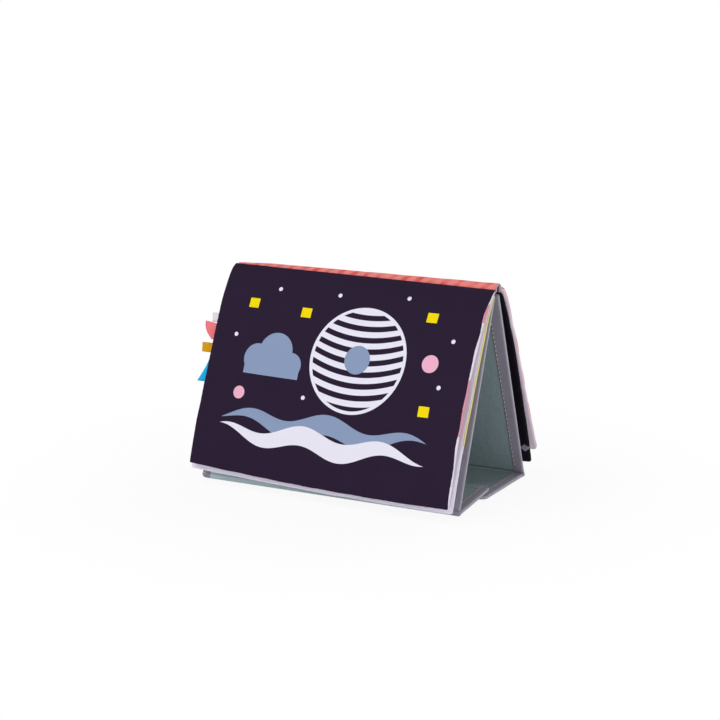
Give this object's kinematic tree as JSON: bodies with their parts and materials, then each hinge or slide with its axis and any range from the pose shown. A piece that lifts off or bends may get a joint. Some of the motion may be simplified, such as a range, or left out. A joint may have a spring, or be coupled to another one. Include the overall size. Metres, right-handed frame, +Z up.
{
  "type": "crinkle cloth book",
  "caption": "Cloth book whose padded crinkle leaves hang over the ridge of a folding tent stand, with ribbon loops at one edge.",
  "frame": {"origin": "on the floor midway along the book, on the underside of the base's rear flap, 2 mm behind the ridge", "axes": "+X along the ridge to the viewer's right as the front leaf is read, +Y to the back, +Z up"},
  "size_m": [0.2873, 0.2095, 0.1982],
  "materials": {
    "sage_cloth": "matte woven polyester",
    "sage_lining": "matte woven polyester",
    "grey_tape": "ribbed binding tape",
    "stiff_board": "plain stiffening board",
    "ridge_stripe": "coral cloth with a printed diagonal stripe",
    "front_print": "dark aubergine printed cloth",
    "mauve_cloth": "pink-mauve cloth",
    "lavender_cloth": "lavender-white cloth",
    "cream_cloth": "cream-yellow cloth",
    "dark_print": "near-black printed cloth",
    "crinkle_film": "thin crackling film",
    "wadding": "soft polyester wadding",
    "coral_ribbon": "satin ribbon",
    "mustard_ribbon": "satin ribbon",
    "cyan_ribbon": "satin ribbon",
    "lavender_ribbon": "satin ribbon",
    "hook_tape": "moulded hooks on a woven backing",
    "loop_tape": "napped loops on a woven backing"
  },
  "bodies": {
    "spine": {"ridge_lining": "sage_lining", "seam_roll": "grey_tape", "spine_band": "ridge_stripe"},
    "back_panel": {"back_panel_binding_left": "grey_tape", "back_panel_binding_right": "grey_tape", "back_panel_board": "stiff_board", "back_panel_face": "sage_cloth", "back_panel_lining": "sage_lining", "rear_fold": "sage_cloth"},
    "front_flap": {"front_flap_binding_left": "grey_tape", "front_flap_binding_right": "grey_tape", "front_flap_board": "stiff_board", "front_flap_face": "sage_cloth", "front_flap_lining": "sage_lining", "loop_strip": "loop_tape"},
    "front_panel": {"front_fold": "sage_cloth", "front_panel_binding_left": "grey_tape", "front_panel_binding_right": "grey_tape", "front_panel_board": "stiff_board", "front_panel_face": "sage_cloth", "front_panel_lining": "sage_lining"},
    "leaf_1": {"leaf_1_crinkle_film": "crinkle_film", "leaf_1_inner_fabric": "mauve_cloth", "leaf_1_outer_fabric": "front_print", "leaf_1_wadding": "wadding"},
    "leaf_2": {"leaf_2_crinkle_film": "crinkle_film", "leaf_2_inner_fabric": "cream_cloth", "leaf_2_outer_fabric": "lavender_cloth", "leaf_2_wadding": "wadding"},
    "leaf_3": {"leaf_3_crinkle_film": "crinkle_film", "leaf_3_inner_fabric": "dark_print", "leaf_3_outer_fabric": "sage_cloth", "leaf_3_wadding": "wadding"},
    "leaf_4": {"leaf_4_crinkle_film": "crinkle_film", "leaf_4_inner_fabric": "lavender_cloth", "leaf_4_outer_fabric": "ridge_stripe", "leaf_4_wadding": "wadding"},
    "rear_flap": {"hook_strip": "hook_tape", "rear_flap_binding_left": "grey_tape", "rear_flap_binding_right": "grey_tape", "rear_flap_board": "stiff_board", "rear_flap_face": "sage_cloth", "rear_flap_lining": "sage_lining"},
    "ribbon_coral": {"ribbon_coral": "coral_ribbon"},
    "ribbon_cyan": {"ribbon_cyan": "cyan_ribbon"},
    "ribbon_lavender": {"ribbon_lavender": "lavender_ribbon"},
    "ribbon_mustard": {"ribbon_mustard": "mustard_ribbon"}
  },
  "joints": [
    {"name": "front_panel_opens", "type": "hinge", "parent": "spine", "child": "front_panel", "pos_m": [0, -0.002, 0.192], "axis": [1, 0, 0], "range_deg": [-69, 0]},
    {"name": "back_panel_opens", "type": "hinge", "parent": "spine", "child": "back_panel", "pos_m": [0, -0.002, 0.192], "axis": [1, 0, 0], "range_deg": [0, 69]},
    {"name": "front_flap_lifts", "type": "hinge", "parent": "front_panel", "child": "front_flap", "pos_m": [0, -0.07343, 0.00366], "axis": [1, 0, 0], "range_deg": [0, 55]},
    {"name": "rear_flap_swings_down", "type": "hinge", "parent": "back_panel", "child": "rear_flap", "pos_m": [0, 0.06953, 0], "axis": [1, 0, 0], "range_deg": [0, 110]},
    {"name": "second_leaf_turns", "type": "hinge", "parent": "front_panel", "child": "leaf_2", "pos_m": [0, -0.002, 0.192], "axis": [-1, 0, 0], "range_deg": [0, 40]},
    {"name": "first_leaf_turns", "type": "hinge", "parent": "leaf_2", "child": "leaf_1", "pos_m": [0, -0.00867, 0.19417], "axis": [-0.9999, 0.0046, 0.0141], "range_deg": [0, 80]},
    {"name": "third_leaf_turns", "type": "hinge", "parent": "back_panel", "child": "leaf_3", "pos_m": [0, -0.002, 0.192], "axis": [-1, 0, 0], "range_deg": [-40, 0]},
    {"name": "fourth_leaf_turns", "type": "hinge", "parent": "leaf_3", "child": "leaf_4", "pos_m": [0, 0.0053, 0.19226], "axis": [-1, 0, 0], "range_deg": [-80, 0]},
    {"name": "ribbon_lavender_bends", "type": "hinge", "parent": "leaf_2", "child": "ribbon_lavender", "pos_m": [-0.1373, -0.03742, 0.14877], "axis": [0, 0.4436, 0.8962], "range_deg": [-60, 60], "stiffness_Nm_per_rad": 0.0001},
    {"name": "ribbon_coral_bends", "type": "hinge", "parent": "leaf_2", "child": "ribbon_coral", "pos_m": [-0.1373, -0.04314, 0.13676], "axis": [0, 0.4166, 0.9091], "range_deg": [-60, 60], "stiffness_Nm_per_rad": 0.0001},
    {"name": "ribbon_mustard_bends", "type": "hinge", "parent": "leaf_2", "child": "ribbon_mustard", "pos_m": [-0.1373, -0.05013, 0.12069], "axis": [0, 0.3831, 0.9237], "range_deg": [-60, 60], "stiffness_Nm_per_rad": 0.0001},
    {"name": "ribbon_cyan_bends", "type": "hinge", "parent": "leaf_2", "child": "ribbon_cyan", "pos_m": [-0.1373, -0.05805, 0.10116], "axis": [0, 0.3688, 0.9295], "range_deg": [-60, 60], "stiffness_Nm_per_rad": 0.0001}
  ]
}
